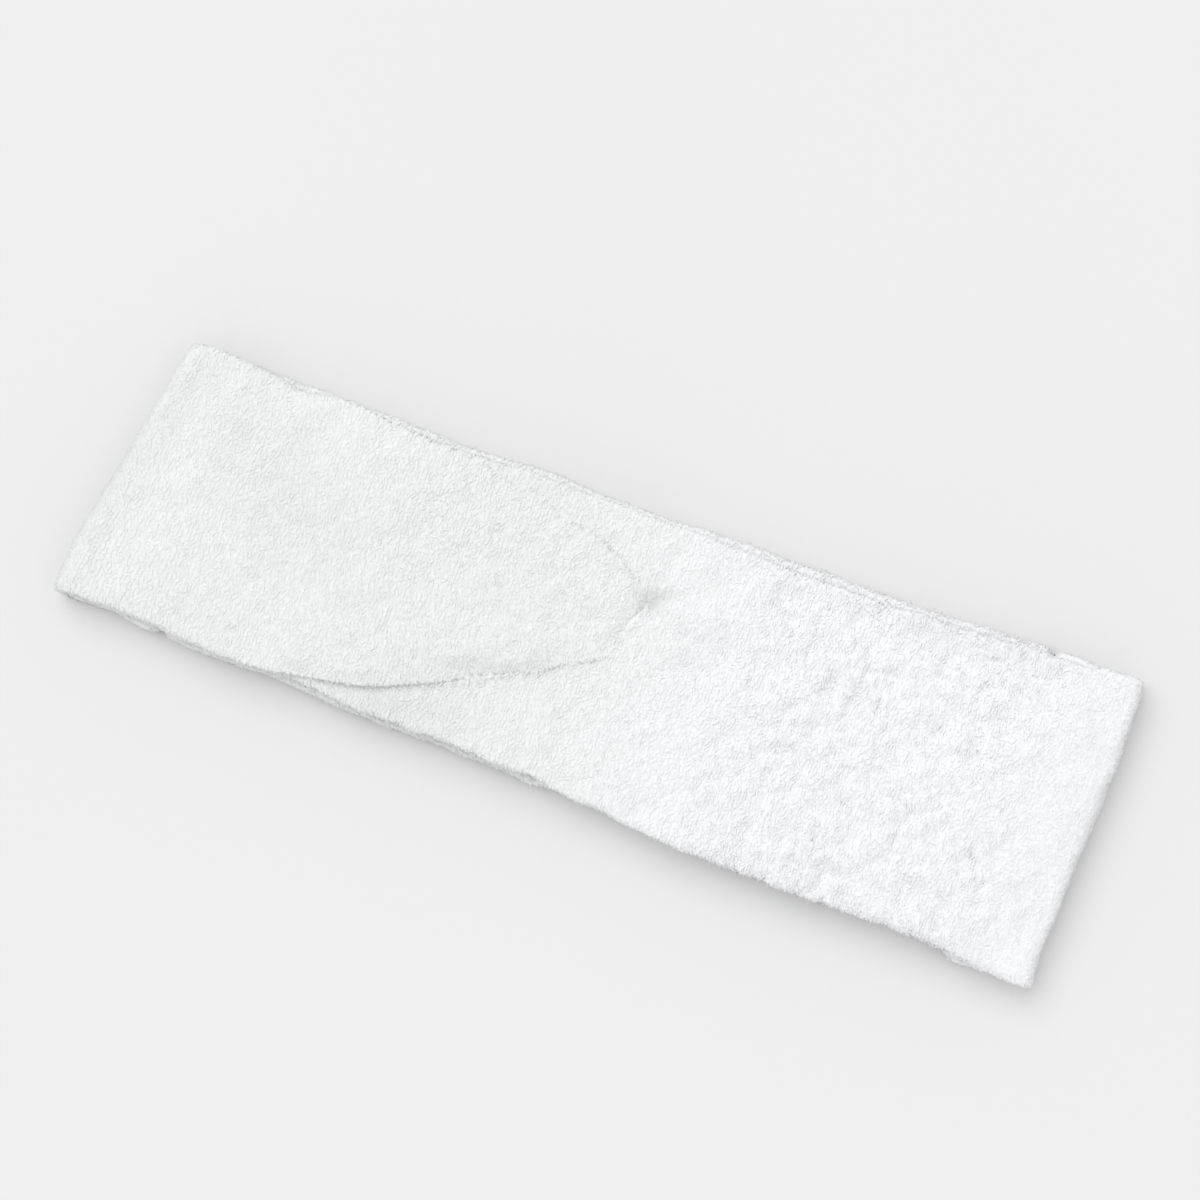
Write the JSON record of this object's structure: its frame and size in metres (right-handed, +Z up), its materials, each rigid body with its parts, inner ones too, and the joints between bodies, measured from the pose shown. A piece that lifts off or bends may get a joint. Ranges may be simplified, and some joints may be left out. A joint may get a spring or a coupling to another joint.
{
  "type": "sports headband",
  "caption": "Wide terry sports headband laid flat: two padded strands linked in a tuck at the front, closed behind by an elasticated terry panel.",
  "frame": {"origin": "centre of the flat band's footprint, on the table plane under it", "axes": "+X along the band's length towards the right strand, +Y across its width, +Z up out of the front face with the tuck"},
  "size_m": [0.2448, 0.0774, 0.0134],
  "materials": {
    "terry": "white cotton terry, looped pile",
    "back_terry": "white cotton terry, looped pile, gathered",
    "elastic": "woven elastic tape, ribbed along its length",
    "thread": "spun polyester sewing thread",
    "label_tape": "smooth woven tape, blank"
  },
  "bodies": {
    "twist": {"left_strand_twist": "terry", "left_strand_seam_twist": "thread", "right_strand_twist": "terry", "right_strand_seam_twist": "thread"},
    "front_left_inner": {"left_strand_front": "terry", "left_strand_return": "terry", "left_strand_seam_inner": "thread", "right_strand_link": "terry"},
    "front_left_outer": {"left_strand_side": "terry", "left_strand_seam_outer": "thread"},
    "back_left_outer": {"left_strand_tail": "terry", "left_join_seam": "thread", "back_panel_left_end": "back_terry", "elastic_left_end": "elastic", "elastic_left_tack": "thread", "back_panel_seam_left_end": "thread", "care_label": "label_tape"},
    "back_left_inner": {"back_panel_left": "back_terry", "elastic_left": "elastic", "back_panel_seam_left": "thread"},
    "back_centre_left": {"back_panel_centre_left": "back_terry", "elastic_centre_left": "elastic", "back_panel_seam_centre_left": "thread"},
    "front_right_inner": {"right_strand_front": "terry", "right_strand_seam_inner": "thread"},
    "front_right_outer": {"right_strand_side": "terry", "right_strand_seam_outer": "thread"},
    "back_right_outer": {"right_strand_tail": "terry", "right_join_seam": "thread", "back_panel_right_end": "back_terry", "elastic_right_end": "elastic", "elastic_right_tack": "thread", "back_panel_seam_right_end": "thread"},
    "back_right_inner": {"back_panel_right": "back_terry", "elastic_right": "elastic", "back_panel_seam_right": "thread"},
    "back_centre_right": {"back_panel_centre_right": "back_terry", "elastic_centre_right": "elastic", "back_panel_seam_centre_right": "thread"}
  },
  "joints": [
    {"name": "left_front_bend", "type": "hinge", "parent": "twist", "child": "front_left_inner", "pos_m": [-0.04, 0, 0.0065], "axis": [0, -1, 0], "range_deg": [0, 60]},
    {"name": "left_front_stretch", "type": "slide", "parent": "front_left_inner", "child": "front_left_outer", "axis": [-1, 0, 0], "range_m": [0, 0.02], "stiffness_N_per_m": 250},
    {"name": "left_end_fold", "type": "hinge", "parent": "front_left_outer", "child": "back_left_outer", "pos_m": [-0.1164, 0, 0.006], "axis": [0, 1, 0], "range_deg": [0, 120]},
    {"name": "left_back_stretch", "type": "slide", "parent": "back_left_outer", "child": "back_left_inner", "axis": [1, 0, 0], "range_m": [0, 0.02], "stiffness_N_per_m": 250},
    {"name": "left_back_bend", "type": "hinge", "parent": "back_left_inner", "child": "back_centre_left", "pos_m": [-0.04, 0, 0.0055], "axis": [0, -1, 0], "range_deg": [0, 60]},
    {"name": "right_front_bend", "type": "hinge", "parent": "twist", "child": "front_right_inner", "pos_m": [0.04, 0, 0.0065], "axis": [0, 1, 0], "range_deg": [0, 60]},
    {"name": "right_front_stretch", "type": "slide", "parent": "front_right_inner", "child": "front_right_outer", "axis": [1, 0, 0], "range_m": [0, 0.02], "stiffness_N_per_m": 250},
    {"name": "right_end_fold", "type": "hinge", "parent": "front_right_outer", "child": "back_right_outer", "pos_m": [0.1164, 0, 0.006], "axis": [0, -1, 0], "range_deg": [0, 120]},
    {"name": "right_back_stretch", "type": "slide", "parent": "back_right_outer", "child": "back_right_inner", "axis": [-1, 0, 0], "range_m": [0, 0.02], "stiffness_N_per_m": 250},
    {"name": "right_back_bend", "type": "hinge", "parent": "back_right_inner", "child": "back_centre_right", "pos_m": [0.04, 0, 0.0055], "axis": [0, 1, 0], "range_deg": [0, 60]}
  ],
  "couplings": [
    {"joint": "left_end_fold", "follows": "left_front_bend", "ratio": 2},
    {"joint": "left_back_bend", "follows": "left_front_bend", "ratio": 1},
    {"joint": "right_front_bend", "follows": "left_front_bend", "ratio": 1},
    {"joint": "right_end_fold", "follows": "left_front_bend", "ratio": 2},
    {"joint": "right_back_bend", "follows": "left_front_bend", "ratio": 1},
    {"joint": "left_back_stretch", "follows": "left_front_stretch", "ratio": 1},
    {"joint": "right_front_stretch", "follows": "left_front_stretch", "ratio": 1},
    {"joint": "right_back_stretch", "follows": "left_front_stretch", "ratio": 1}
  ]
}
